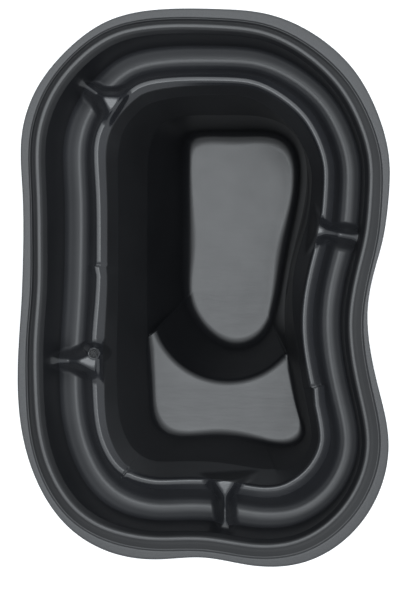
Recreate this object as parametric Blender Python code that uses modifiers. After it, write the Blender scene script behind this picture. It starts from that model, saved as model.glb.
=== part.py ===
"""Preformed garden pond: one moulded sheet with a flanged rim, a planting trough crossed by four dams, a basin
with a half-depth shelf and a deep pit. +Z up, long side along Y, pit underside on z = 0. Metres."""

import bpy
import numpy as np

SHEET = 0.004
GAP = 0.0003
SIDE_GAP = 0.0007
FLANGE_Z = 0.4405
GROOVE_Z = 0.4380
BEAD_SIDE_Z = 0.4460
RIM_TOP_Z = 0.450
SHOULDER_Z = 0.437
TROUGH_OUTER_Z = 0.364
TROUGH_MIDDLE_Z = 0.3545
TROUGH_LOW_Z = 0.352
TROUGH_INNER_Z = 0.3550
LIP_FOOT_Z = 0.3780
LIP_OUTER_Z = 0.3852
LIP_TOP_Z = 0.386
LIP_INNER_Z = 0.376
STEP_Z = 0.342
STEP_DROP = 0.0015
STEP_LEDGE = 0.001
SHELF_Z = 0.200
PIT_FLOOR_Z = SHEET

TROUGH_SPACING = 0.046
DAM_HALF = 0.052
# Where each quarter of a dam's block is cut again, closest together over its crest.
DAM_COLUMNS = [(0, 0.5), (0, 0.33, 0.57, 0.79), (0, 0.21, 0.43, 0.67), (0, 0.5)]
PAD_FLANK = 1.4
WAIST_FLANK = 2.3
DAM_FLARE = 0.016
NOSE_SLOPE = 5.0
NOSE_STEP = 0.0025
NOSE_LEDGE_SLOPE = 0.40
NOSE_ROUND = 0.026
DAM_BLEND = 0.018
DAM_ROUND = 0.0030
DAM_PAD_Z = 0.413
DAM_SADDLE_Z = 0.3985
DAM_OUTER_Z = 0.4085

LENGTH = 1.200
WIDTH = 0.800

# Plan outlines, anticlockwise from the waist on the +X side.
EDGE = [
    (0.354, -0.048), (0.367, 0.030), (0.386, 0.100), (0.399, 0.191), (0.400, 0.280), (0.376, 0.373),
    (0.324, 0.468), (0.238, 0.545), (0.138, 0.588), (0.028, 0.599), (-0.106, 0.597), (-0.209, 0.572),
    (-0.295, 0.510), (-0.360, 0.427), (-0.392, 0.327), (-0.390, 0.201), (-0.389, 0.071),
    (-0.393, -0.038), (-0.400, -0.158), (-0.395, -0.288), (-0.363, -0.408), (-0.298, -0.509),
    (-0.208, -0.567), (-0.104, -0.585), (-0.002, -0.581), (0.104, -0.598), (0.214, -0.592),
    (0.310, -0.538), (0.376, -0.446), (0.399, -0.332), (0.377, -0.215), (0.359, -0.129),
]
SHELF_LINE = [
    (0.184, -0.058), (0.188, 0.001), (0.203, 0.081), (0.227, 0.181), (0.235, 0.263), (0.224, 0.322),
    (0.190, 0.367), (0.133, 0.390), (0.038, 0.394), (-0.052, 0.390), (-0.099, 0.370), (-0.122, 0.325),
    (-0.128, 0.241), (-0.128, 0.101), (-0.128, -0.019), (-0.126, -0.118), (-0.119, -0.228),
    (-0.110, -0.298), (-0.081, -0.330), (0.028, -0.334), (0.118, -0.345), (0.198, -0.355),
    (0.226, -0.337), (0.220, -0.288), (0.201, -0.198), (0.188, -0.128),
]
PIT_LINE = [
    (0.170, -0.048), (0.182, 0.001), (0.198, 0.101), (0.219, 0.201), (0.226, 0.271), (0.212, 0.337),
    (0.168, 0.367), (0.078, 0.370), (-0.002, 0.369), (-0.034, 0.356), (-0.043, 0.315), (-0.043, 0.201),
    (-0.043, 0.061), (-0.038, -0.024), (-0.002, -0.092), (0.071, -0.135), (0.138, -0.110),
]

# Millimetres in from the edge, one every 15 degrees round the middle from +X.
BEAD_IN = [
    34, 37, 41, 44, 48, 44, 40, 38, 35, 38, 36, 36,
    38, 37, 40, 37, 40, 47, 41, 46, 50, 47, 42, 38,
]
TROUGH_IN = [
    75, 76, 80, 82, 90, 95, 98, 102, 109, 117, 117, 116,
    116, 116, 116, 115, 113, 107, 100, 102, 94, 85, 81, 78,
]
LIP_IN = [
    131, 132, 135, 137, 144, 145, 146, 149, 155, 159, 160, 160,
    161, 159, 163, 159, 162, 164, 159, 163, 161, 147, 136, 135,
]
STEP_IN = [
    162, 162, 161, 167, 175, 172, 174, 186, 192, 204, 201, 198,
    201, 205, 208, 206, 210, 206, 198, 201, 188, 165, 153, 151,
]

BASIN_CENTRE = (0.048, 0.021)
PIT_CENTRE = (0.083, 0.111)
# Degrees by which the lower line of each wall leads the upper one, so that their corners meet.
BASIN_LEAD = {0: 0, 65: 1, 122: -8, 155: -3, 180: 0, 215: 4, 240: 8, 265: 4, 298: -3, 330: 0}
PIT_LEAD = {0: 0, 65: -2, 95: -6, 128: -12, 155: -6, 185: 0, 230: 0, 300: 0}
ARC_CENTRE = (0.054, -0.041)
ARC_RADIUS = 0.170
SHELF_FROM = 217.0
SHELF_TO = 311.0

# Each dam: where its nose and its root are, then half widths at the nose, the waist and the root,
# then how far from the nose the pad, the waist and the saddle end, and how far the nose's ledge reaches.
DAMS = {
    "east": ((0.2440, 0.1246), (0.3310, 0.1089), 0.0120, 0.0052, 0.0085, 0.018, 0.026, 0.052, 0.002),
    "north": ((-0.1905, 0.3943), (-0.2650, 0.4432), 0.0185, 0.0036, 0.0080, 0.031, 0.038, 0.049, 0.005),
    "west": ((-0.2325, -0.1600), (-0.3235, -0.1580), 0.0190, 0.0044, 0.0080, 0.038, 0.045, 0.061, 0.008),
    "south": ((0.0460, -0.4170), (0.0460, -0.5150), 0.0200, 0.0026, 0.0090, 0.033, 0.040, 0.064, 0.002),
}
MARK_CENTRE = (-0.238, -0.142)
MARK_RADIUS = 0.0105
MARK_THICKNESS = 0.002
MARK_SEAT_Z = 0.4135


def spline_through(values, knots, at):
    """A closed cubic spline through the values, read at the given places. The last knot closes the loop."""
    values = np.asarray(values, float).reshape(len(values), -1)
    n = len(values)
    h = np.diff(knots)
    system = np.zeros((n, n))
    right = np.zeros(values.shape)
    for i in range(n):
        before, after = h[i - 1], h[i]
        system[i, i - 1] += before
        system[i, i] += 2 * (before + after)
        system[i, (i + 1) % n] += after
        right[i] = 6 * ((values[(i + 1) % n] - values[i]) / after - (values[i] - values[i - 1]) / before)
    bend = np.linalg.solve(system, right)
    i = np.clip(np.searchsorted(knots, at, side="right") - 1, 0, n - 1)
    j = (i + 1) % n
    step = h[i][:, None]
    a = ((knots[i + 1] - at)[:, None]) / step
    b = 1 - a
    cubic = ((a**3 - a) * bend[i] + (b**3 - b) * bend[j]) * step**2 / 6
    return a * values[i] + b * values[j] + cubic


def closed_outline(points, count=4000):
    points = np.asarray(points, float)
    sides = np.linalg.norm(np.roll(points, -1, axis=0) - points, axis=1) ** 0.75
    knots = np.concatenate([[0], np.cumsum(sides)])
    return spline_through(points, knots, np.linspace(0, knots[-1], count, endpoint=False))


def inset_at(millimetres, degrees):
    knots = np.linspace(0, 360, len(millimetres) + 1)
    return spline_through(millimetres, knots, degrees % 360)[:, 0] / 1000


def led(degrees, lead):
    places = sorted(lead)
    knots = np.array(places + [places[0] + 360.0])
    return (degrees + spline_through([lead[p] for p in places], knots, degrees % 360)[:, 0]) % 360


def bearing(points, centre):
    return np.degrees(np.arctan2(points[:, 1] - centre[1], points[:, 0] - centre[0])) % 360


def reach(outline, centre, degrees):
    """The distance from the centre to the outline in each direction."""
    found = bearing(outline, centre)
    order = np.argsort(found)
    far = np.hypot(outline[:, 0] - centre[0], outline[:, 1] - centre[1])
    return np.interp(degrees, found[order], far[order], period=360)


def towards(centre, degrees, distance):
    angle = np.radians(degrees)
    return np.stack([centre[0] + distance * np.cos(angle), centre[1] + distance * np.sin(angle)], axis=1)


def smooth_step(value):
    value = np.clip(value, 0, 1)
    return value * value * (3 - 2 * value)


def smooth_max(first, second, blend):
    near = np.clip(0.5 + 0.5 * (first - second) / blend, 0, 1)
    return second + (first - second) * near + blend * near * (1 - near)


def smooth_min(first, second, blend):
    return -smooth_max(-first, -second, blend)


def at_height(plan, z):
    return np.column_stack([plan, np.full(len(plan), z)])


def rounded(before, corner, after, radius, samples):
    """Rows that round the corner between its two neighbours, column by column."""
    back, ahead = before - corner, after - corner
    length_back = np.linalg.norm(back, axis=1)
    length_ahead = np.linalg.norm(ahead, axis=1)
    back = back / length_back[:, None]
    ahead = ahead / length_ahead[:, None]
    cosine = np.clip(-(back * ahead).sum(axis=1), -0.999, 1)
    cut = radius * np.sqrt((1 - cosine) / (1 + cosine))
    cut = np.minimum(np.maximum(cut, 0.0004), 0.45 * np.minimum(length_back, length_ahead))[:, None]
    share = np.linspace(0, 1, samples)
    return [corner + cut * ((1 - s) ** 2 * back + s**2 * ahead) for s in share]


def dam_height(plan, dam):
    """The height of a dam's own surface over each point of the plan."""
    nose_half, waist_half, root_half, pad_end, waist_at, saddle_at, ledge = dam[2:]
    nose, root = np.array(dam[0]), np.array(dam[1])
    length = np.linalg.norm(root - nose)
    axis = (root - nose) / length
    along = (plan - nose) @ axis
    across = np.abs((plan - nose) @ np.array([-axis[1], axis[0]]))
    down = DAM_PAD_Z + (DAM_SADDLE_Z - DAM_PAD_Z) * (along - pad_end) / (saddle_at - pad_end)
    up = DAM_SADDLE_Z + (DAM_OUTER_Z - DAM_SADDLE_Z) * (along - saddle_at) / (length - saddle_at)
    crest = smooth_min(smooth_max(down, up, 0.004), DAM_PAD_Z, 0.003)
    narrowed = smooth_step(along / waist_at)
    flare = np.clip((along - length + DAM_FLARE) / DAM_FLARE, 0, 1)
    half = nose_half + (waist_half - nose_half) * narrowed + (root_half - waist_half) * flare**2
    beside = (across - half) * (PAD_FLANK + (WAIST_FLANK - PAD_FLANK) * narrowed)
    ahead = np.maximum(-along, 0)
    before = NOSE_STEP * smooth_step(ahead / 0.003) + NOSE_LEDGE_SLOPE * ahead
    before = before + NOSE_SLOPE * (np.maximum(ahead - ledge, 0) - np.maximum(along, 0))
    fall = smooth_max(beside, before, NOSE_ROUND)
    return crest - DAM_ROUND * np.logaddexp(0, fall / DAM_ROUND)


def seat_height(plan):
    """The round seat that carries the blank mark on the west dam."""
    away = np.hypot(plan[:, 0] - MARK_CENTRE[0], plan[:, 1] - MARK_CENTRE[1])
    return MARK_SEAT_Z - 2.5 * np.maximum(away - MARK_RADIUS - 0.002, 0)


def with_dams(block):
    """The block with the dams and the mark's seat raised out of it."""
    flat = block.reshape(-1, 3).copy()
    for dam in DAMS.values():
        flat[:, 2] = smooth_max(flat[:, 2], dam_height(flat[:, :2], dam), DAM_BLEND)
    flat[:, 2] = smooth_max(flat[:, 2], seat_height(flat[:, :2]), 0.001)
    return flat.reshape(block.shape)


def make_grid():
    """Rows from the flange's edge to the pit floor, columns round the pond, and the names of both."""
    edge = closed_outline(EDGE)
    tangent = np.roll(edge, -1, axis=0) - np.roll(edge, 1, axis=0)
    tangent /= np.linalg.norm(tangent, axis=1)[:, None]
    inward = np.column_stack([-tangent[:, 1], tangent[:, 0]])
    degrees = bearing(edge, (0, 0))
    trough = edge + inward * inset_at(TROUGH_IN, degrees)[:, None]
    walk = np.linalg.norm(np.roll(trough, -1, axis=0) - trough, axis=1)
    run = np.concatenate([[0], np.cumsum(walk)])
    around = run[-1]

    places, dam_columns = [], {}
    middles = {}
    for name, dam in DAMS.items():
        middle = (np.array(dam[0]) + np.array(dam[1])) / 2
        offset = middle - edge
        beside = np.abs(offset[:, 0] * inward[:, 1] - offset[:, 1] * inward[:, 0])
        beside[(offset * inward).sum(axis=1) < 0.03] = 9
        beside[(offset * inward).sum(axis=1) > 0.2] = 9
        middles[name] = run[np.argmin(beside)]
    names = sorted(middles, key=middles.get)
    for i, name in enumerate(names):
        start = middles[name] - DAM_HALF
        dam_columns[name] = len(places)
        places += list(np.linspace(start, start + 2 * DAM_HALF, 5))
        ahead = middles[names[(i + 1) % len(names)]] + (around if i + 1 == len(names) else 0)
        stretch = ahead - DAM_HALF - places[-1]
        count = max(2, round(stretch / TROUGH_SPACING))
        places += list(places[-1] + stretch * np.arange(1, count) / count)
    places = np.array(places) % around
    picked = np.searchsorted(run[:-1], places) % len(edge)
    edge, inward, degrees = edge[picked], inward[picked], degrees[picked]
    edge = edge - (edge.max(axis=0) + edge.min(axis=0)) / 2
    edge = edge * np.array([WIDTH, LENGTH]) / (edge.max(axis=0) - edge.min(axis=0))

    bead = inset_at(BEAD_IN, degrees)
    trough = inset_at(TROUGH_IN, degrees)
    lip = inset_at(LIP_IN, degrees)
    step = inset_at(STEP_IN, degrees)

    def ring(inset, z):
        return at_height(edge + inward * np.broadcast_to(inset, len(edge))[:, None], z)

    turned = np.radians(degrees)
    on_left = 0.5 - 0.5 * np.cos(turned)
    room = smooth_step((trough - bead - 0.040) / 0.036)
    wide = smooth_step(0.5 + 0.5 * np.cos(turned - np.radians(315)))
    ledge = smooth_step(0.5 + 0.9 * np.cos(turned - np.radians(345)))
    shoulder = np.clip(0.32 + 0.25 * np.cos(turned - np.radians(150)), 0.15, 0.47) * (step - lip)
    corners = [
        ring(0.0, FLANGE_Z),
        ring(bead - 0.0205 - 0.0080 * wide, FLANGE_Z),
        ring(bead - 0.0170 - 0.0070 * wide, GROOVE_Z),
        ring(bead - 0.0115 - 0.0010 * wide, BEAD_SIDE_Z - 0.0020 * wide),
        ring(bead - 0.0050, RIM_TOP_Z),
        ring(bead + 0.0045, RIM_TOP_Z),
        ring(bead + 0.0130 + 0.0030 * room, SHOULDER_Z),
        ring(trough - 0.0240 - 0.0030 * room, TROUGH_OUTER_Z + 0.0020 * room),
        ring(trough - 0.0095, TROUGH_MIDDLE_Z + 0.0010 * room),
        ring(trough + 0.0035, TROUGH_LOW_Z),
        ring(trough + 0.0195, TROUGH_INNER_Z + 0.0025 * on_left),
        ring(lip - 0.0115 - 0.0095 * ledge, LIP_FOOT_Z),
        ring(lip - 0.0060, LIP_OUTER_Z),
        ring(lip + 0.0040, LIP_TOP_Z),
        ring(lip + np.maximum(shoulder, 0.0060), LIP_INNER_Z),
        ring(step, STEP_Z),
        ring(step + STEP_LEDGE, STEP_Z - STEP_DROP),
    ]

    shelf_line = closed_outline(SHELF_LINE)
    pit_line = closed_outline(PIT_LINE)
    turn = led(bearing(corners[-1], BASIN_CENTRE), BASIN_LEAD)
    far = reach(shelf_line, BASIN_CENTRE, turn)
    foot = at_height(towards(BASIN_CENTRE, turn, far), SHELF_Z)
    line_of_sight = np.column_stack([np.cos(np.radians(turn)), np.sin(np.radians(turn))])
    to_arc = np.array(BASIN_CENTRE) - np.array(ARC_CENTRE)
    along = line_of_sight @ to_arc
    arc = -along + np.sqrt(along**2 - to_arc @ to_arc + ARC_RADIUS**2)
    beyond = np.maximum(np.maximum(SHELF_FROM - turn, turn - SHELF_TO), 0)
    width = np.where(beyond > 0, 0, np.maximum(far - arc, 0))
    pit_edge = at_height(towards(BASIN_CENTRE, turn, far - width), SHELF_Z - 0.002)
    pit_turn = led(bearing(pit_edge, PIT_CENTRE), PIT_LEAD)
    pit = at_height(towards(PIT_CENTRE, pit_turn, reach(pit_line, PIT_CENTRE, pit_turn)), PIT_FLOOR_Z)
    on_wall = foot + 0.03 * (pit - foot)
    share = smooth_step(width / 0.015)[:, None]
    pit_edge = on_wall + share * (pit_edge - on_wall)
    middle = np.broadcast_to(np.array([PIT_CENTRE[0], PIT_CENTRE[1], PIT_FLOOR_Z]), pit.shape)
    corners += [foot, pit_edge, pit, middle]

    pit_radius = 35 + 6 * np.cos(np.radians(pit_turn - 165.0))
    foot_radius = 23 + 6 * np.cos(np.radians(turn - 200.0))
    radii = [0, 3, 3, 8, 9, 9, 8, 40, 40, 22, 36, 5, 5, 7, 9, 0, 0, foot_radius, 20, pit_radius, 0]
    samples = [1, 2, 2, 2, 2, 3, 3, 4, 2, 2, 3, 2, 2, 3, 3, 1, 1, 4, 3, 4, 1]
    rows, marks = [], {}
    for i, corner in enumerate(corners):
        if i == 17:
            marks["shelf"] = len(rows)
            rows.append(corner + 0.24 * (corners[16] - corner))
        if i == 19:
            marks["wall_foot"] = len(rows)
        if samples[i] == 1:
            rows.append(corner)
        else:
            rows += rounded(corners[i - 1], corner, corners[i + 1], radii[i] / 1000, samples[i])
        if i == 6:
            marks["wall"] = len(rows)
            rows.append(rows[-1] + 0.12 * (corners[7] - rows[-1]))
        if i == 16:
            marks["basin"] = len(rows)
            rows.append(corner + 0.15 * (corners[17] - corner))
        if i == 18:
            marks["pit"] = len(rows)
            rows.append(corner + 0.14 * (corners[19] - corner))
        if i == 19:
            marks["floor"] = len(rows)
            rows.append(rows[-1] + 0.06 * (corners[20] - rows[-1]))
    return np.array(rows), marks, dam_columns, names, width


def columns_between(first, last, count):
    return [c % count for c in range(first, last + 1 if last > first else last + count + 1)]


def trimmed(block, sides):
    """The block with its named sides drawn in by the gap left between neighbouring pieces."""
    block = block.copy()
    for side in sides:
        view = {"top": block, "bottom": block[::-1], "start": block.swapaxes(0, 1)}.get(side)
        if side == "end":
            view = block.swapaxes(0, 1)[::-1]
        inward = view[1] - view[0]
        inward = inward / np.linalg.norm(inward, axis=1)[:, None]
        view[0] += (SIDE_GAP if side in ("start", "end") else GAP) * inward
    return block


def material_named(name, shade, roughness):
    material = bpy.data.materials.new(name)
    material.use_nodes = True
    shader = material.node_tree.nodes["Principled BSDF"]
    shader.inputs["Base Color"].default_value = (shade, shade, shade * 1.08, 1)
    shader.inputs["Roughness"].default_value = roughness
    return material


def add_sheet(name, points, faces, shade=0.012, roughness=0.34):
    """A piece of the sheet, from its upper face down."""
    mesh = bpy.data.meshes.new(name)
    mesh.from_pydata([tuple(p) for p in points], [], faces)
    mesh.shade_smooth()
    obj = bpy.data.objects.new(name, mesh)
    pond.objects.link(obj)
    mesh.materials.append(material_named(name, shade, roughness))
    solidify = obj.modifiers.new("sheet", "SOLIDIFY")
    solidify.thickness = SHEET
    solidify.offset = -1
    solidify.use_even_offset = True
    solidify.use_quality_normals = True
    return obj


def add_block(name, block, closed=False):
    rows, columns = block.shape[:2]
    points = block.reshape(-1, 3)
    faces = []
    for r in range(rows - 1):
        for c in range(columns if closed else columns - 1):
            d = (c + 1) % columns
            faces.append((r * columns + c, r * columns + d, (r + 1) * columns + d, (r + 1) * columns + c))
    return add_sheet(name, points, faces)


for old in list(bpy.data.objects):
    bpy.data.objects.remove(old, do_unlink=True)
pond = bpy.data.collections.new("preformed_pond")
bpy.context.scene.collection.children.link(pond)

grid, marks, dam_columns, dam_names, shelf_width = make_grid()
row_count, column_count = grid.shape[:2]
# A trough that goes round a corner of the pond is divided there.
TROUGH_STRETCHES = {
    "northeast": ("northeast", "north"),
    "west": ("west",),
    "southwest": ("southwest",),
    "southeast": ("south", "southeast"),
}
sector_names = {"east": "northeast", "north": "west", "west": "southwest", "south": "southeast"}

for i, dam in enumerate(dam_names):
    start = dam_columns[dam]
    following = dam_columns[dam_names[(i + 1) % len(dam_names)]]
    sector = sector_names[dam]
    trough_columns = columns_between(start + 4, following, column_count)
    rim_columns = columns_between(start + 2, following + 2, column_count)
    rim = grid[: marks["wall"] + 1, rim_columns]
    add_block(f"rim_{sector}", trimmed(rim, ("bottom", "start", "end")))
    stretches = TROUGH_STRETCHES[sector]
    cuts = [round(k * (len(trough_columns) - 1) / len(stretches)) for k in range(len(stretches) + 1)]
    for stretch, first, last in zip(stretches, cuts[:-1], cuts[1:]):
        trough = with_dams(grid[marks["wall"] : marks["basin"] + 1, trough_columns[first : last + 1]])
        add_block(f"planting_trough_{stretch}", trimmed(trough, ("top", "bottom", "start", "end")))
    wall = grid[marks["basin"] : marks["shelf"] + 1, rim_columns]
    add_block(f"basin_wall_{sector}", trimmed(wall, ("top", "bottom", "start", "end")))

    block = grid[marks["wall"] : marks["basin"] + 1, start : start + 5]
    finer = []
    for c, shares in enumerate(DAM_COLUMNS):
        finer += [block[:, c] + s * (block[:, c + 1] - block[:, c]) for s in shares]
    finer.append(block[:, 4])
    block = with_dams(np.stack(finer, axis=1))
    add_block(f"dam_{dam}", trimmed(block, ("top", "bottom", "start", "end")))

on_shelf = np.where(shelf_width > 0)[0]
shelf_columns = list(range(on_shelf.min() - 1, on_shelf.max() + 2))
rest_columns = columns_between(shelf_columns[-1], shelf_columns[0], column_count)
shelf = grid[marks["shelf"] : marks["pit"] + 1, shelf_columns]
add_block("shelf", trimmed(shelf, ("top", "bottom", "start", "end")))
foot_rows = list(range(marks["wall_foot"], marks["floor"] + 1))
front = grid[[marks["pit"]] + foot_rows][:, shelf_columns]
add_block("pit_wall_south", trimmed(front, ("top", "bottom", "start", "end")))
third = len(rest_columns) // 3
stretches = {
    "east": rest_columns[: third + 1],
    "north": rest_columns[third : 2 * third + 1],
    "west": rest_columns[2 * third :],
}
for side, columns in stretches.items():
    wall = grid[[marks["shelf"]] + foot_rows][:, columns]
    add_block(f"pit_wall_{side}", trimmed(wall, ("top", "bottom", "start", "end")))

floor = trimmed(grid[marks["floor"] :], ("top",))
floor_rows = [floor[0], floor[0] + 0.5 * (grid[-1] - floor[0])]
points = list(np.concatenate(floor_rows)) + [grid[-1, 0]]
faces = []
for r in range(len(floor_rows) - 1):
    for c in range(column_count):
        d = (c + 1) % column_count
        low, high = r * column_count, (r + 1) * column_count
        faces.append((low + c, low + d, high + d, high + c))
last = (len(floor_rows) - 1) * column_count
for c in range(column_count):
    faces.append((last + c, last + (c + 1) % column_count, len(points) - 1))
add_sheet("pit_floor", points, faces)

bpy.ops.mesh.primitive_cylinder_add(
    vertices=32,
    radius=MARK_RADIUS,
    depth=MARK_THICKNESS,
    location=(*MARK_CENTRE, MARK_SEAT_Z + GAP + MARK_THICKNESS / 2),
)
mark = bpy.context.object
mark.name = "blank_mark"
for collection in list(mark.users_collection):
    collection.objects.unlink(mark)
pond.objects.link(mark)
mark.data.materials.append(material_named("blank_mark", 0.03, 0.30))
rounding = mark.modifiers.new("rounding", "BEVEL")
rounding.width = 0.0006
rounding.segments = 2
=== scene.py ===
"""The looks of a preformed garden pond.

One continuous moulded sheet stands for all the zones of the CAD model, with a small round mark on one dam.
"""

import math

import bpy
import numpy as np
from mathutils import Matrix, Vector


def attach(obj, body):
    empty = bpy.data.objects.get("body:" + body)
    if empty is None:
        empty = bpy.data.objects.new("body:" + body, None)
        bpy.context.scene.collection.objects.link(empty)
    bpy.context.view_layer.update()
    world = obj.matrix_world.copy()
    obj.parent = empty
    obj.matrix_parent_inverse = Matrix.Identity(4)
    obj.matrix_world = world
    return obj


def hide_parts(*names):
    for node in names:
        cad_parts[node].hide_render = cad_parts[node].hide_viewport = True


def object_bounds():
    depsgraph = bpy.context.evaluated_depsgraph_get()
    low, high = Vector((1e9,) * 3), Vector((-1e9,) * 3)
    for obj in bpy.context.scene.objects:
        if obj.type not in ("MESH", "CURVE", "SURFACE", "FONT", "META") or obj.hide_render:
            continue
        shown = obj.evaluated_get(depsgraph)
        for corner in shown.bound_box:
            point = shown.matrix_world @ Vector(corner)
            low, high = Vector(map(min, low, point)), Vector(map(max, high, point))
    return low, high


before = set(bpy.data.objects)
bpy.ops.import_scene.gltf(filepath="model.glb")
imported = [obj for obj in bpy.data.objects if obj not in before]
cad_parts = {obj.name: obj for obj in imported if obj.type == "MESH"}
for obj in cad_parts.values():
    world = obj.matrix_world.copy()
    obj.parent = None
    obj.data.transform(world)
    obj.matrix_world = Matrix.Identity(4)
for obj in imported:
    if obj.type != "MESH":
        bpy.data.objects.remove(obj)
cad_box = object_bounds()

# Heights of the moulding, in metres, the same as the CAD model's.
SHEET = 0.004
GAP = 0.0003
FLANGE_Z = 0.4405
GROOVE_Z = 0.4380
BEAD_SIDE_Z = 0.4460
RIM_TOP_Z = 0.450
SHOULDER_Z = 0.437
TROUGH_OUTER_Z = 0.364
TROUGH_MIDDLE_Z = 0.3545
TROUGH_LOW_Z = 0.352
TROUGH_INNER_Z = 0.3550
LIP_FOOT_Z = 0.3780
LIP_OUTER_Z = 0.3852
LIP_TOP_Z = 0.386
LIP_INNER_Z = 0.376
STEP_Z = 0.342
STEP_DROP = 0.0015
STEP_LEDGE = 0.001
SHELF_Z = 0.200
PIT_FLOOR_Z = SHEET

PAD_FLANK = 1.4
WAIST_FLANK = 2.3
DAM_FLARE = 0.016
NOSE_SLOPE = 5.0
NOSE_STEP = 0.0025
NOSE_LEDGE_SLOPE = 0.40
NOSE_ROUND = 0.026
DAM_BLEND = 0.018
DAM_ROUND = 0.0030
DAM_PAD_Z = 0.413
DAM_SADDLE_Z = 0.3985
DAM_OUTER_Z = 0.4085
SADDLE_BLEND = 0.004
PAD_BLEND = 0.003
NOSE_STEP_RUN = 0.003
FLANGE_EDGE_RADIUS = 0.0015

# Plan outlines, anticlockwise from the waist on the +X side.
EDGE = [
    (0.354, -0.048), (0.367, 0.030), (0.386, 0.100), (0.399, 0.191), (0.400, 0.280), (0.376, 0.373),
    (0.324, 0.468), (0.238, 0.545), (0.138, 0.588), (0.028, 0.599), (-0.106, 0.597), (-0.209, 0.572),
    (-0.295, 0.510), (-0.360, 0.427), (-0.392, 0.327), (-0.390, 0.201), (-0.389, 0.071),
    (-0.393, -0.038), (-0.400, -0.158), (-0.395, -0.288), (-0.363, -0.408), (-0.298, -0.509),
    (-0.208, -0.567), (-0.104, -0.585), (-0.002, -0.581), (0.104, -0.598), (0.214, -0.592),
    (0.310, -0.538), (0.376, -0.446), (0.399, -0.332), (0.377, -0.215), (0.359, -0.129),
]
SHELF_LINE = [
    (0.184, -0.058), (0.188, 0.001), (0.203, 0.081), (0.227, 0.181), (0.235, 0.263), (0.224, 0.322),
    (0.190, 0.367), (0.133, 0.390), (0.038, 0.394), (-0.052, 0.390), (-0.099, 0.370), (-0.122, 0.325),
    (-0.128, 0.241), (-0.128, 0.101), (-0.128, -0.019), (-0.126, -0.118), (-0.119, -0.228),
    (-0.110, -0.298), (-0.081, -0.330), (0.028, -0.334), (0.118, -0.345), (0.198, -0.355),
    (0.226, -0.337), (0.220, -0.288), (0.201, -0.198), (0.188, -0.128),
]
PIT_LINE = [
    (0.170, -0.048), (0.182, 0.001), (0.198, 0.101), (0.219, 0.201), (0.226, 0.271), (0.212, 0.337),
    (0.168, 0.367), (0.078, 0.370), (-0.002, 0.369), (-0.034, 0.356), (-0.043, 0.315), (-0.043, 0.201),
    (-0.043, 0.061), (-0.038, -0.024), (-0.002, -0.092), (0.071, -0.135), (0.138, -0.110),
]

# Millimetres in from the edge, one every 15 degrees round the middle from +X.
BEAD_IN = [
    34, 37, 41, 44, 48, 44, 40, 38, 35, 38, 36, 36,
    38, 37, 40, 37, 40, 47, 41, 46, 50, 47, 42, 38,
]
TROUGH_IN = [
    75, 76, 80, 82, 90, 95, 98, 102, 109, 117, 117, 116,
    116, 116, 116, 115, 113, 107, 100, 102, 94, 85, 81, 78,
]
LIP_IN = [
    131, 132, 135, 137, 144, 145, 146, 149, 155, 159, 160, 160,
    161, 159, 163, 159, 162, 164, 159, 163, 161, 147, 136, 135,
]
STEP_IN = [
    162, 162, 161, 167, 175, 172, 174, 186, 192, 204, 201, 198,
    201, 205, 208, 206, 210, 206, 198, 201, 188, 165, 153, 151,
]

BASIN_CENTRE = (0.048, 0.021)
PIT_CENTRE = (0.083, 0.111)
# Degrees by which the lower line of each wall leads the upper one, so that their corners meet.
BASIN_LEAD = {0: 0, 65: 1, 122: -8, 155: -3, 180: 0, 215: 4, 240: 8, 265: 4, 298: -3, 330: 0}
PIT_LEAD = {0: 0, 65: -2, 95: -6, 128: -12, 155: -6, 185: 0, 230: 0, 300: 0}
ARC_CENTRE = (0.054, -0.041)
ARC_RADIUS = 0.170
SHELF_FROM = 217.0
SHELF_TO = 311.0

# Each dam: where its nose and its root are, then half widths at the nose, the waist and the root,
# then how far from the nose the pad, the waist and the saddle end, and how far the nose's ledge reaches.
DAMS = {
    "east": ((0.2440, 0.1246), (0.3310, 0.1089), 0.0120, 0.0052, 0.0085, 0.018, 0.026, 0.052, 0.002),
    "north": ((-0.1905, 0.3943), (-0.2650, 0.4432), 0.0185, 0.0036, 0.0080, 0.031, 0.038, 0.049, 0.005),
    "west": ((-0.2325, -0.1600), (-0.3235, -0.1580), 0.0190, 0.0044, 0.0080, 0.038, 0.045, 0.061, 0.008),
    "south": ((0.0460, -0.4170), (0.0460, -0.5150), 0.0200, 0.0026, 0.0090, 0.033, 0.040, 0.064, 0.002),
}
# Small kinks in the lip: place, jump outwards, and the way over which it comes back.
KINKS = [
    ((-0.215, 0.049), 0.0050, 0.024),
    ((-0.171, -0.402), 0.0040, 0.016),
    ((0.230, -0.218), 0.0060, -0.040),
]
KINK_RISE = 0.004
KINK_NOTCH = 0.0025
KINK_NOTCH_HALF = 0.003
KINK_REACH = 0.075
KINK_ROWS = 9.0
# The plastic is smoothest on the crests, where hands and mould release polish it.
DULL_BELOW_Z = 0.368
SMOOTH_ABOVE_Z = 0.390
MARK_CENTRE = (-0.238, -0.142)
MARK_RADIUS = 0.0105
MARK_THICKNESS = 0.002
MARK_DISH = 0.0004
MARK_RIM_WIDTH = 0.0013
MARK_RIM_HEIGHT = 0.0011
MARK_EDGE = 0.0004
MARK_TURNS = 72
MARK_SEAT_Z = 0.4135
SEAT_SLOPE = 2.5
SEAT_MARGIN = 0.002
SEAT_BLEND = 0.001

COLUMN_SPACING = 0.0050
UNFOLD_PASSES = 40
FOLD_COSINE = 0.35
NORMAL_PASSES = 3
FINE_SPACING = 0.0018
FINE_REACH = 0.068

TENT_TINT = (0.92, 0.965, 1.0, 1)
TENT_SLANT = (0.8, -0.6, 0.0)
TENT_DIM = 0.40
TENT_BRIGHT = 1.20
# Where each glow of the roof is, seen from the pond, how wide it is, and how strong.
ROOF_GLOWS = [
    ((-0.07, 0.17), 0.72, 2.9),
    ((-0.01, 0.04), 0.26, 5.4),
]
FLOOR_HALF = 12.0
CAMERA_OVER = (-0.0027, -0.0266)
CAMERA_HEIGHT = 4.0
FRAME_HEIGHT = 1.2858
SENSOR_WIDTH = 36.0


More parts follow.
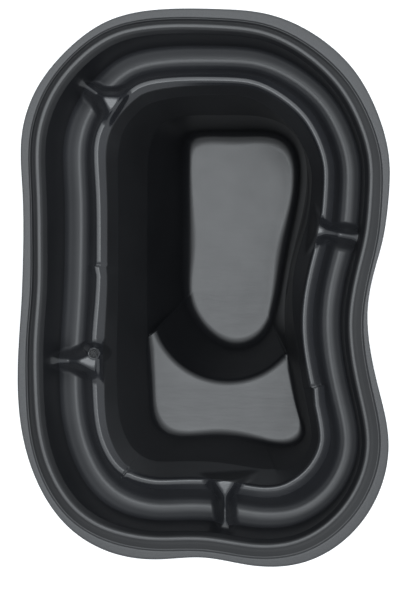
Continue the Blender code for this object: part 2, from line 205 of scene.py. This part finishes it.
def spline_through(values, knots, at):
    """A closed cubic spline through the values, read at the given places. The last knot closes the loop."""
    values = np.asarray(values, float).reshape(len(values), -1)
    n = len(values)
    h = np.diff(knots)
    system = np.zeros((n, n))
    right = np.zeros(values.shape)
    for i in range(n):
        before, after = h[i - 1], h[i]
        system[i, i - 1] += before
        system[i, i] += 2 * (before + after)
        system[i, (i + 1) % n] += after
        right[i] = 6 * ((values[(i + 1) % n] - values[i]) / after - (values[i] - values[i - 1]) / before)
    bend = np.linalg.solve(system, right)
    i = np.clip(np.searchsorted(knots, at, side="right") - 1, 0, n - 1)
    j = (i + 1) % n
    step = h[i][:, None]
    a = ((knots[i + 1] - at)[:, None]) / step
    b = 1 - a
    cubic = ((a**3 - a) * bend[i] + (b**3 - b) * bend[j]) * step**2 / 6
    return a * values[i] + b * values[j] + cubic


def closed_outline(points, count=12000):
    points = np.asarray(points, float)
    sides = np.linalg.norm(np.roll(points, -1, axis=0) - points, axis=1) ** 0.75
    knots = np.concatenate([[0], np.cumsum(sides)])
    return spline_through(points, knots, np.linspace(0, knots[-1], count, endpoint=False))


def inset_at(millimetres, degrees):
    knots = np.linspace(0, 360, len(millimetres) + 1)
    return spline_through(millimetres, knots, degrees % 360)[:, 0] / 1000


def led(degrees, lead):
    places = sorted(lead)
    knots = np.array(places + [places[0] + 360.0])
    return (degrees + spline_through([lead[p] for p in places], knots, degrees % 360)[:, 0]) % 360


def bearing(points, centre):
    return np.degrees(np.arctan2(points[:, 1] - centre[1], points[:, 0] - centre[0])) % 360


def reach(outline, centre, degrees):
    """The distance from the centre to the outline in each direction."""
    found = bearing(outline, centre)
    order = np.argsort(found)
    far = np.hypot(outline[:, 0] - centre[0], outline[:, 1] - centre[1])
    return np.interp(degrees, found[order], far[order], period=360)


def towards(centre, degrees, distance):
    angle = np.radians(degrees)
    return np.stack([centre[0] + distance * np.cos(angle), centre[1] + distance * np.sin(angle)], axis=1)


def smooth_step(value):
    value = np.clip(value, 0, 1)
    return value * value * (3 - 2 * value)


def smooth_max(first, second, blend):
    near = np.clip(0.5 + 0.5 * (first - second) / blend, 0, 1)
    return second + (first - second) * near + blend * near * (1 - near)


def smooth_min(first, second, blend):
    return -smooth_max(-first, -second, blend)


def at_height(plan, z):
    return np.column_stack([plan, np.full(len(plan), z)])


def rounded(before, corner, after, radius, samples):
    """Rows that round the corner between its two neighbours, column by column."""
    back, ahead = before - corner, after - corner
    length_back = np.linalg.norm(back, axis=1)
    length_ahead = np.linalg.norm(ahead, axis=1)
    back = back / length_back[:, None]
    ahead = ahead / length_ahead[:, None]
    cosine = np.clip(-(back * ahead).sum(axis=1), -0.999, 1)
    cut = radius * np.sqrt((1 - cosine) / (1 + cosine))
    cut = np.minimum(np.maximum(cut, 0.0004), 0.45 * np.minimum(length_back, length_ahead))[:, None]
    share = np.linspace(0, 1, samples)
    return [corner + cut * ((1 - s) ** 2 * back + s**2 * ahead) for s in share]


def dam_height(plan, dam):
    """The height of a dam's own surface over each point of the plan."""
    nose_half, waist_half, root_half, pad_end, waist_at, saddle_at, ledge = dam[2:]
    nose, root = np.array(dam[0]), np.array(dam[1])
    length = np.linalg.norm(root - nose)
    axis = (root - nose) / length
    along = (plan - nose) @ axis
    across = np.abs((plan - nose) @ np.array([-axis[1], axis[0]]))
    down = DAM_PAD_Z + (DAM_SADDLE_Z - DAM_PAD_Z) * (along - pad_end) / (saddle_at - pad_end)
    up = DAM_SADDLE_Z + (DAM_OUTER_Z - DAM_SADDLE_Z) * (along - saddle_at) / (length - saddle_at)
    crest = smooth_min(smooth_max(down, up, SADDLE_BLEND), DAM_PAD_Z, PAD_BLEND)
    narrowed = smooth_step(along / waist_at)
    flare = np.clip((along - length + DAM_FLARE) / DAM_FLARE, 0, 1)
    half = nose_half + (waist_half - nose_half) * narrowed + (root_half - waist_half) * flare**2
    beside = (across - half) * (PAD_FLANK + (WAIST_FLANK - PAD_FLANK) * narrowed)
    ahead = np.maximum(-along, 0)
    before = NOSE_STEP * smooth_step(ahead / NOSE_STEP_RUN) + NOSE_LEDGE_SLOPE * ahead
    before = before + NOSE_SLOPE * (np.maximum(ahead - ledge, 0) - np.maximum(along, 0))
    fall = smooth_max(beside, before, NOSE_ROUND)
    return crest - DAM_ROUND * np.logaddexp(0, fall / DAM_ROUND)


def column_places(run, trough, features):
    """Places along the trough, close together near each dam and notch."""
    density = np.full(len(trough), 1 / COLUMN_SPACING)
    for place, fine_reach in features:
        away = np.hypot(trough[:, 0] - place[0], trough[:, 1] - place[1])
        near = 1 - smooth_step((away - fine_reach) / 0.03)
        density = np.maximum(density, near / FINE_SPACING)
    total = np.concatenate([[0], np.cumsum(density * np.diff(run))])
    count = int(round(total[-1]))
    wanted = np.arange(count) * total[-1] / count
    return np.searchsorted(total, wanted) % len(trough)


def make_rows():
    """Rows from the flange's edge to the pit's middle, and the row where each bend starts."""
    edge = closed_outline(EDGE)
    tangent = np.roll(edge, -1, axis=0) - np.roll(edge, 1, axis=0)
    tangent /= np.linalg.norm(tangent, axis=1)[:, None]
    inward = np.column_stack([-tangent[:, 1], tangent[:, 0]])
    degrees = bearing(edge, (0, 0))
    inset = inset_at(TROUGH_IN, degrees)
    trough = edge + inward * inset[:, None]
    run = np.concatenate([[0], np.cumsum(np.linalg.norm(np.roll(trough, -1, axis=0) - trough, axis=1))])
    features = [((np.array(dam[0]) + np.array(dam[1])) / 2, FINE_REACH) for dam in DAMS.values()]
    features += [(np.array(kink[0]), KINK_REACH) for kink in KINKS]
    picked = column_places(run, trough, features)
    edge, inward, degrees, run = edge[picked], inward[picked], degrees[picked], run[picked]
    low, high = np.array(cad_box)[:, :2]
    span = edge.max(axis=0) - edge.min(axis=0)
    edge = (edge - edge.min(axis=0)) * (high - low) / span + low

    bead = inset_at(BEAD_IN, degrees)
    trough = inset_at(TROUGH_IN, degrees)
    lip = inset_at(LIP_IN, degrees)
    step = inset_at(STEP_IN, degrees)
    notch = np.zeros(len(lip))
    for place, jump, back in KINKS:
        at = edge + inward * lip[:, None]
        nearest = np.argmin(np.hypot(at[:, 0] - place[0], at[:, 1] - place[1]))
        past = (run - run[nearest]) * np.sign(back)
        lip = lip - jump * smooth_step(past / KINK_RISE) * np.clip(1 - past / abs(back), 0, 1)
        notch += KINK_NOTCH * np.exp(-((past / KINK_NOTCH_HALF) ** 2))

    def ring(inset, z):
        return at_height(edge + inward * np.broadcast_to(inset, len(edge))[:, None], z)

    turned = np.radians(degrees)
    on_left = 0.5 - 0.5 * np.cos(turned)
    room = smooth_step((trough - bead - 0.040) / 0.036)
    wide = smooth_step(0.5 + 0.5 * np.cos(turned - math.radians(315)))
    ledge = smooth_step(0.5 + 0.9 * np.cos(turned - math.radians(345)))
    shoulder = np.clip(0.32 + 0.25 * np.cos(turned - math.radians(150)), 0.15, 0.47) * (step - lip)
    # Each bend of the section from the flange to the step line: its name, its line round the pond, its radius
    # in millimetres, the rows that round it, and the rows between it and the bend before.
    bends = [
        ("edge", ring(FLANGE_EDGE_RADIUS, FLANGE_Z), 0, 1, 0),
        ("flange", ring(bead - 0.0205 - 0.0080 * wide, FLANGE_Z), 3, 4, 3),
        ("groove", ring(bead - 0.0170 - 0.0070 * wide, GROOVE_Z), 3, 4, 1),
        ("bead side", ring(bead - 0.0115 - 0.0010 * wide, BEAD_SIDE_Z - 0.0020 * wide), 8, 5, 1),
        ("rim outside", ring(bead - 0.0050, RIM_TOP_Z), 9, 8, 1),
        ("rim inside", ring(bead + 0.0045, RIM_TOP_Z), 9, 8, 3),
        ("shoulder", ring(bead + 0.0130 + 0.0030 * room, SHOULDER_Z), 8, 6, 2),
        ("trough outside", ring(trough - 0.0240 - 0.0030 * room, TROUGH_OUTER_Z + 0.0020 * room), 40, 12, 14),
        ("trough middle", ring(trough - 0.0095, TROUGH_MIDDLE_Z + 0.0010 * room), 40, 10, 1),
        ("trough low", ring(trough + 0.0035, TROUGH_LOW_Z), 22, 10, 1),
        ("trough inside", ring(trough + 0.0195, TROUGH_INNER_Z + 0.0025 * on_left), 36, 8, 1),
        ("lip foot", ring(lip - 0.0115 - 0.0095 * ledge, LIP_FOOT_Z), 5, 6, 8),
        ("lip outside", ring(lip - 0.0060, LIP_OUTER_Z), 5, 5, 2),
        ("lip top", ring(lip + 0.0040, LIP_TOP_Z), 7, 6, 2),
        ("lip inside", ring(lip + np.maximum(shoulder, 0.0060), LIP_INNER_Z), 9, 7, 3),
        ("step", ring(step, STEP_Z), 0.6, 3, 11),
        ("step ledge", ring(step + STEP_LEDGE, STEP_Z - STEP_DROP), 0.6, 3, 1),
    ]

    shelf_line = closed_outline(SHELF_LINE)
    pit_line = closed_outline(PIT_LINE)
    turn = led(bearing(bends[-1][1], BASIN_CENTRE), BASIN_LEAD)
    far = reach(shelf_line, BASIN_CENTRE, turn)
    foot = at_height(towards(BASIN_CENTRE, turn, far), SHELF_Z)
    line_of_sight = np.column_stack([np.cos(np.radians(turn)), np.sin(np.radians(turn))])
    to_arc = np.array(BASIN_CENTRE) - np.array(ARC_CENTRE)
    along = line_of_sight @ to_arc
    arc = -along + np.sqrt(along**2 - to_arc @ to_arc + ARC_RADIUS**2)
    beyond = np.maximum(np.maximum(SHELF_FROM - turn, turn - SHELF_TO), 0)
    width = np.where(beyond > 0, 0, np.maximum(far - arc, 0))
    pit_edge = at_height(towards(BASIN_CENTRE, turn, far - width), SHELF_Z - 0.002)
    pit_turn = led(bearing(pit_edge, PIT_CENTRE), PIT_LEAD)
    pit = at_height(towards(PIT_CENTRE, pit_turn, reach(pit_line, PIT_CENTRE, pit_turn)), PIT_FLOOR_Z)
    on_wall = foot + 0.03 * (pit - foot)
    share = smooth_step(width / 0.015)[:, None]
    pit_edge = on_wall + share * (pit_edge - on_wall)
    middle = np.broadcast_to(np.array([PIT_CENTRE[0], PIT_CENTRE[1], PIT_FLOOR_Z]), pit.shape)
    pit_radius = 35 + 6 * np.cos(np.radians(pit_turn - 165.0))
    foot_radius = 23 + 6 * np.cos(np.radians(turn - 200.0))
    bends += [
        ("foot", foot, foot_radius, 12, 20),
        ("pit edge", pit_edge, 20, 10, 6),
        ("pit", pit, pit_radius, 14, 22),
        ("middle", middle, 0, 1, 9),
    ]

    rows, starts = [], {}
    for i, (name, line, radius, samples, between) in enumerate(bends):
        if samples == 1:
            made = [line]
        else:
            made = rounded(bends[i - 1][1], line, bends[i + 1][1], radius / 1000, samples)
        if rows:
            last = rows[-1]
            rows += [last + s * (made[0] - last) for s in np.arange(1, between + 1) / (between + 1)]
        starts[name] = len(rows)
        rows += made
    return np.array(rows), starts, edge, inward, notch


def shape_details(rows, starts, notch):
    """Raises the dams and the mark's seat, and lowers the lip at each kink."""
    shaped = rows.copy()
    first, last = starts["rim inside"], starts["foot"]
    flat = rows[first:last].reshape(-1, 3)
    height = flat[:, 2]
    middle = starts["lip top"] - first
    lip_share = np.exp(-(((np.arange(last - first) - middle) / KINK_ROWS) ** 2))
    height = height - (lip_share[:, None] * notch).ravel()
    for dam in DAMS.values():
        height = smooth_max(height, dam_height(flat[:, :2], dam), DAM_BLEND)
    from_mark = np.hypot(flat[:, 0] - MARK_CENTRE[0], flat[:, 1] - MARK_CENTRE[1])
    seat = MARK_SEAT_Z - SEAT_SLOPE * np.maximum(from_mark - MARK_RADIUS - SEAT_MARGIN, 0)
    height = smooth_max(height, seat, SEAT_BLEND)
    shaped[first:last, :, 2] = height.reshape(last - first, -1)
    return shaped


def grid_normals(rows):
    round_ring = np.roll(rows, -1, axis=1) - np.roll(rows, 1, axis=1)
    inwards = np.gradient(rows, axis=0)
    normal = np.cross(round_ring, inwards)
    normal[-1] = (0, 0, 1)
    length = np.linalg.norm(normal, axis=2, keepdims=True)
    return normal / np.maximum(length, 1e-12)


def quad_normals(surface):
    """A normal for every quad of a surface that closes on itself along its columns."""
    beside = np.roll(surface, -1, axis=1)
    normals = np.cross(beside[1:] - surface[:-1], surface[1:] - beside[:-1])
    return normals / (np.linalg.norm(normals, axis=2, keepdims=True) + 1e-15)


def unfolded(under, top):
    """The lower face with its folds drawn straight, where the sheet bends tighter than it is thick."""
    under = under.copy()
    towards_top = quad_normals(top)
    for _ in range(UNFOLD_PASSES):
        folded = (quad_normals(under) * towards_top).sum(axis=2) < FOLD_COSINE
        folded |= np.roll(folded, 1, axis=1)
        hit = np.zeros(under.shape[:2], bool)
        hit[1:-1] = folded[1:] | folded[:-1]
        beside = np.roll(under, 1, axis=1) + np.roll(under, -1, axis=1)
        middle = under.copy()
        middle[1:-1] = (under[2:] + under[:-2] + beside[1:-1]) / 4
        under[hit] = middle[hit]
    return under


def make_sheet():
    """The whole moulding as one closed skin: upper face, rounded flange edge, lower face."""
    rows, starts, edge, inward, notch = make_rows()
    top = shape_details(rows, starts, notch)
    normal = grid_normals(top)
    for _ in range(NORMAL_PASSES):
        normal[1:-1] = normal[1:-1] * 0.5 + (normal[2:] + normal[:-2]) * 0.25
        normal = normal * 0.5 + (np.roll(normal, 1, axis=1) + np.roll(normal, -1, axis=1)) * 0.25
    normal /= np.linalg.norm(normal, axis=2, keepdims=True)
    under = unfolded(top - SHEET * normal, top)
    under[:, :, 2] = np.maximum(under[:, :, 2], 0.0)

    def edge_row(angle, below):
        out = FLANGE_EDGE_RADIUS - FLANGE_EDGE_RADIUS * math.cos(angle)
        return at_height(edge + inward * out, FLANGE_Z - below)

    radius = FLANGE_EDGE_RADIUS
    turn = np.radians([0, 22.5, 45, 67.5, 90])
    edge_rows = [edge_row(a, SHEET - radius + radius * math.sin(a)) for a in turn[::-1]]
    edge_rows += [edge_row(a, radius - radius * math.sin(a)) for a in turn[:-1]]
    skin = np.concatenate([under[::-1][:-1], np.array(edge_rows), top])
    count = skin.shape[1]
    points = np.concatenate([skin[0, :1], skin[1:-1].reshape(-1, 3), skin[-1, :1]])

    plastics = {
        # The trough's copy has its base colour doubled: painted fill light over the trough and its dams, not
        # a lighter plastic.
        "trough": pond_plastic("trough_plastic_painted_fill", 0.18, 0.36, 2.0),
        "flange": flange_plastic(),
        "outer": outer_plastic(),
        "basin": pond_plastic("basin_plastic", 0.50, 0.50),
        "floor": pond_plastic("floor_plastic", 0.30, 0.30),
        "rim": pond_plastic("rim_plastic", 0.30, 0.30),
    }
    slots = {name: slot for slot, name in enumerate(plastics)}
    top_from = len(under) - 1 + len(edge_rows)
    # The row of the skin from which each plastic runs, underside first.
    plastic_from = [
        (0, "outer"),
        (top_from - len(turn), "flange"),
        (top_from + starts["groove"], "rim"),
        (top_from + starts["trough outside"], "trough"),
        (top_from + starts["lip inside"], "basin"),
        (top_from + starts["foot"], "floor"),
    ]

    def slot_of(row):
        return slots[[name for start, name in plastic_from if row >= start][-1]]

    inner = len(skin) - 2
    row_slots = [slot_of(r + 1) for r in range(inner - 1)]
    faces, zones = [], []
    for c in range(count):
        d = (c + 1) % count
        faces.append((0, 1 + d, 1 + c))
        zones.append(slots["outer"])
        for r in range(inner - 1):
            a, b = 1 + r * count, 1 + (r + 1) * count
            faces.append((a + c, a + d, b + d, b + c))
        zones += row_slots
        a = 1 + (inner - 1) * count
        faces.append((a + c, a + d, len(points) - 1))
        zones.append(slots["floor"])
    mesh = bpy.data.meshes.new("pond_sheet")
    mesh.from_pydata([tuple(p) for p in points], [], faces)
    mesh.validate()
    mesh.shade_smooth()
    for material in plastics.values():
        mesh.materials.append(material)
    mesh.polygons.foreach_set("material_index", np.array(zones, np.int32))
    obj = bpy.data.objects.new("pond_sheet", mesh)
    bpy.context.scene.collection.objects.link(obj)
    return obj


class Nodes:
    """A short way to add and join the nodes of a material."""

    def __init__(self, name):
        self.material = bpy.data.materials.new(name)
        self.material.use_nodes = True
        self.tree = self.material.node_tree
        self.shader = self.tree.nodes["Principled BSDF"]
        self.place = self.add("ShaderNodeTexCoord").outputs["Object"]

    def add(self, kind, **settings):
        node = self.tree.nodes.new(kind)
        for key, value in settings.items():
            if key in node.inputs:
                node.inputs[key].default_value = value
            else:
                setattr(node, key, value)
        return node

    def join(self, source, target):
        self.tree.links.new(source, target)

    def noise(self, scale, detail=2.0, roughness=0.5, stretch=None):
        node = self.add("ShaderNodeTexNoise", Scale=scale, Detail=detail, Roughness=roughness)
        source = self.place
        if stretch:
            mapping = self.add("ShaderNodeMapping")
            mapping.inputs["Scale"].default_value = stretch
            self.join(source, mapping.inputs["Vector"])
            source = mapping.outputs["Vector"]
        self.join(source, node.inputs["Vector"])
        return node.outputs["Fac"]

    def between(self, value, low, high):
        node = self.add("ShaderNodeMapRange")
        node.inputs["To Min"].default_value = low
        node.inputs["To Max"].default_value = high
        self.join(value, node.inputs["Value"])
        return node.outputs["Result"]

    def tint(self, value, dark, light):
        node = self.add("ShaderNodeValToRGB")
        node.color_ramp.elements[0].color = (*dark, 1)
        node.color_ramp.elements[1].color = (*light, 1)
        node.color_ramp.elements[0].position = 0.3
        node.color_ramp.elements[1].position = 0.7
        self.join(value, node.inputs["Fac"])
        return node.outputs["Color"]

    def bump(self, height, distance, strength=1.0, below=None):
        node = self.add("ShaderNodeBump")
        node.inputs["Distance"].default_value = distance
        node.inputs["Strength"].default_value = strength
        self.join(height, node.inputs["Height"])
        if below is not None:
            self.join(below, node.inputs["Normal"])
        return node.outputs["Normal"]


def pond_plastic(name, smooth, dull, painted_fill_gain=1.0):
    """Satin black polyethylene, as it leaves the mould: faint flow streaks and a fine skin. The last argument
    scales the base colour: above 1 it makes a lighter copy of the same plastic, which is painted fill light.
    """
    n = Nodes(name)
    cloud = n.noise(6.0, 4.0, 0.55)
    # Both tones are multiplied by the last argument: a gain above 1 is painted fill light, not a lighter
    # plastic.
    dark, light = (Vector(tone) * painted_fill_gain for tone in ((0.0070, 0.0074, 0.0086), (0.0100, 0.0105, 0.0120)))
    n.join(n.tint(cloud, dark, light), n.shader.inputs["Base Color"])
    apart = n.add("ShaderNodeSeparateXYZ")
    n.join(n.place, apart.inputs["Vector"])
    height = n.between(apart.outputs["Z"], dull, smooth)
    height.node.inputs["From Min"].default_value = DULL_BELOW_Z
    height.node.inputs["From Max"].default_value = SMOOTH_ABOVE_Z
    patchy = n.add("ShaderNodeMath", operation="MULTIPLY")
    n.join(height, patchy.inputs[0])
    n.join(n.between(n.noise(14.0, 3.0, 0.6), 0.88, 1.12), patchy.inputs[1])
    n.join(patchy.outputs[0], n.shader.inputs["Roughness"])
    n.shader.inputs["IOR"].default_value = 1.5
    streaks = n.noise(9.0, 3.0, 0.6, stretch=(1.0, 5.0, 1.0))
    skin = n.noise(700.0, 2.0, 0.5)
    soft = n.bump(streaks, 0.0007, 0.5)
    n.join(n.bump(skin, 0.00006, 0.5, below=soft), n.shader.inputs["Normal"])
    return n.material


def flange_plastic():
    """The flat flange: the same plastic with the coarser grain of a cut and rolled margin."""
    n = Nodes("flange_plastic")
    grain = n.noise(380.0, 3.0, 0.7)
    n.join(n.tint(grain, (0.008, 0.0084, 0.0095), (0.024, 0.025, 0.028)), n.shader.inputs["Base Color"])
    n.join(n.between(grain, 0.26, 0.42), n.shader.inputs["Roughness"])
    n.join(n.bump(grain, 0.0003, 0.6), n.shader.inputs["Normal"])
    return n.material


def outer_plastic():
    """The side that lies against the soil: duller, with a light orange peel."""
    n = Nodes("outer_plastic")
    peel = n.noise(160.0, 2.0, 0.5)
    tone = n.tint(n.noise(5.0, 3.0), (0.014, 0.0145, 0.016), (0.020, 0.021, 0.023))
    n.join(tone, n.shader.inputs["Base Color"])
    n.join(n.between(peel, 0.42, 0.52), n.shader.inputs["Roughness"])
    n.join(n.bump(peel, 0.0002, 0.5), n.shader.inputs["Normal"])
    return n.material


def make_mark():
    """A small round mark with a rounded rim and a blank dished face, turned from one profile."""
    top = MARK_SEAT_Z + GAP + MARK_THICKNESS
    base = top - MARK_THICKNESS
    rim = MARK_RADIUS - MARK_RIM_WIDTH
    face = top - MARK_RIM_HEIGHT
    profile = [(MARK_RADIUS - MARK_EDGE, base), (MARK_RADIUS, base + MARK_EDGE)]
    for a in np.linspace(0, math.pi, 9):
        profile.append((rim + MARK_RIM_WIDTH * math.cos(a), face + MARK_RIM_HEIGHT * math.sin(a)))
    for share in (0.92, 0.8, 0.65, 0.5, 0.35, 0.2, 0.08):
        profile.append(((rim - MARK_RIM_WIDTH) * share, face - MARK_DISH * math.sin(math.pi * share)))
    x, y = MARK_CENTRE
    turns = MARK_TURNS
    points = [(x, y, base)]
    for r, z in profile:
        for k in range(turns):
            a = 2 * math.pi * k / turns
            points.append((x + r * math.cos(a), y + r * math.sin(a), z))
    points.append((x, y, face))
    faces = []
    for k in range(turns):
        m = (k + 1) % turns
        faces.append((0, 1 + m, 1 + k))
        for row in range(len(profile) - 1):
            a, b = 1 + row * turns, 1 + (row + 1) * turns
            faces.append((a + k, a + m, b + m, b + k))
        last = 1 + (len(profile) - 1) * turns
        faces.append((last + k, last + m, len(points) - 1))
    mesh = bpy.data.meshes.new("blank_mark_disc")
    mesh.from_pydata(points, [], faces)
    mesh.shade_smooth()
    obj = bpy.data.objects.new("blank_mark_disc", mesh)
    bpy.context.scene.collection.objects.link(obj)
    mesh.materials.append(mark_plastic())
    return obj


def mark_plastic():
    """The mark's plastic: the same black, with a coarse flecked grain."""
    n = Nodes("mark_plastic")
    fleck = n.noise(320.0, 2.0, 0.7)
    n.join(n.tint(fleck, (0.004, 0.0042, 0.0050), (0.016, 0.017, 0.019)), n.shader.inputs["Base Color"])
    n.join(n.between(fleck, 0.16, 0.40), n.shader.inputs["Roughness"])
    n.join(n.bump(fleck, 0.0030, 1.0), n.shader.inputs["Normal"])
    return n.material


def make_floor():
    mesh = bpy.data.meshes.new("floor")
    h = FLOOR_HALF
    mesh.from_pydata([(-h, -h, 0), (h, -h, 0), (h, h, 0), (-h, h, 0)], [], [(0, 1, 2, 3)])
    obj = bpy.data.objects.new("floor", mesh)
    bpy.context.scene.collection.objects.link(obj)
    n = Nodes("floor_paint")
    n.join(n.tint(n.noise(3.0), (0.90, 0.90, 0.90), (0.93, 0.93, 0.93)), n.shader.inputs["Base Color"])
    n.shader.inputs["Roughness"].default_value = 0.9
    n.shader.inputs["Emission Color"].default_value = (1, 1, 1, 1)
    n.shader.inputs["Emission Strength"].default_value = 0.30
    mesh.materials.append(n.material)
    return obj


def light_studio():
    """A white tent whose roof glows: softly from the whole side, most of all over the pond."""
    world = bpy.data.worlds.new("studio")
    bpy.context.scene.world = world
    world.use_nodes = True
    tree = world.node_tree
    background = tree.nodes["Background"]
    background.inputs["Color"].default_value = TENT_TINT
    way = tree.nodes.new("ShaderNodeTexCoord").outputs["Generated"]
    slant = tree.nodes.new("ShaderNodeVectorMath")
    slant.operation = "DOT_PRODUCT"
    slant.inputs[1].default_value = TENT_SLANT
    tree.links.new(way, slant.inputs[0])

    def ramp(value, start, end, low, high):
        node = tree.nodes.new("ShaderNodeMapRange")
        node.inputs["From Min"].default_value = start
        node.inputs["From Max"].default_value = end
        node.inputs["To Min"].default_value = low
        node.inputs["To Max"].default_value = high
        node.interpolation_type = "SMOOTHSTEP" if end < 0.5 else "LINEAR"
        tree.links.new(value, node.inputs["Value"])
        return node.outputs["Result"]

    glow = ramp(slant.outputs["Value"], -0.9, 0.9, TENT_DIM, TENT_BRIGHT)
    for centre, spread, strength in ROOF_GLOWS:
        away = tree.nodes.new("ShaderNodeVectorMath")
        away.operation = "DISTANCE"
        tree.links.new(way, away.inputs[0])
        away.inputs[1].default_value = Vector((*centre, 1.0)).normalized()
        total = tree.nodes.new("ShaderNodeMath")
        tree.links.new(glow, total.inputs[0])
        tree.links.new(ramp(away.outputs["Value"], 0.0, spread, strength, 0.0), total.inputs[1])
        glow = total.outputs[0]
    tree.links.new(glow, background.inputs["Strength"])


def place_camera():
    camera = bpy.data.cameras.new("camera")
    obj = bpy.data.objects.new("camera", camera)
    obj.location = (*CAMERA_OVER, RIM_TOP_Z + CAMERA_HEIGHT)
    obj.rotation_euler = (0, 0, 0)
    camera.sensor_width = SENSOR_WIDTH
    camera.lens = SENSOR_WIDTH * CAMERA_HEIGHT / FRAME_HEIGHT
    camera.clip_end = 60.0
    bpy.context.scene.collection.objects.link(obj)
    bpy.context.scene.camera = obj


sheet = make_sheet()
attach(sheet, "root")
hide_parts(*[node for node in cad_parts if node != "blank_mark"])
mark = make_mark()
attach(mark, "root")
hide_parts("blank_mark")
make_floor()
light_studio()
place_camera()
bpy.context.scene.view_settings.view_transform = "Standard"
